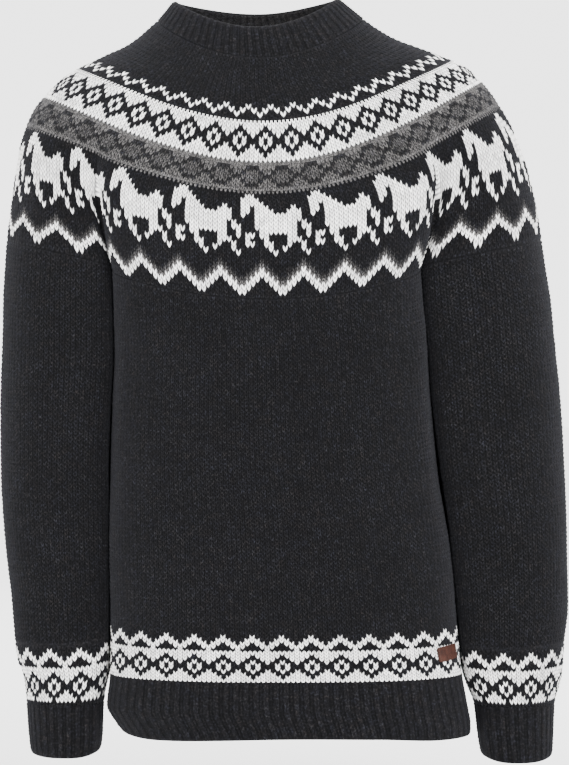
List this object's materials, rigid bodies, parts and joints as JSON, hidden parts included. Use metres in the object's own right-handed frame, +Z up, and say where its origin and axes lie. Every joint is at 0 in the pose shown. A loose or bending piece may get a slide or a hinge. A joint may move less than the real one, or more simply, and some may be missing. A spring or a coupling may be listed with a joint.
{
  "type": "round-yoke wool sweater, worn form with no wearer",
  "caption": "Hollow knitted wool sweater filled out as worn, with a patterned round yoke, ribbed stand-up collar, patterned hem and cuffs with ribbed edges.",
  "frame": {"origin": "middle of the shoulder line at the base of the neck, where the wearer's shoulders hold the sweater up", "axes": "+Z up along the body, -Y out of the front, +X towards the wearer's left arm"},
  "size_m": [0.5648, 0.2388, 0.7597],
  "materials": {
    "charcoal_knit": "heathered charcoal wool, stocking stitch, fuzzy",
    "charcoal_rib": "heathered charcoal wool, knit-one purl-one rib",
    "yoke_knit": "stranded wool in charcoal, off-white and mid grey",
    "label_leather": "matt brown leather, plain"
  },
  "bodies": {
    "root": {"collar": "charcoal_rib", "yoke_front": "yoke_knit", "yoke_back": "yoke_knit", "body_front": "charcoal_knit", "body_back": "charcoal_knit", "hem_front": "charcoal_rib", "hem_back": "charcoal_rib", "sleeve_left": "charcoal_knit", "sleeve_right": "charcoal_knit", "cuff_left": "charcoal_rib", "cuff_right": "charcoal_rib", "label": "label_leather"}
  },
  "joints": []
}
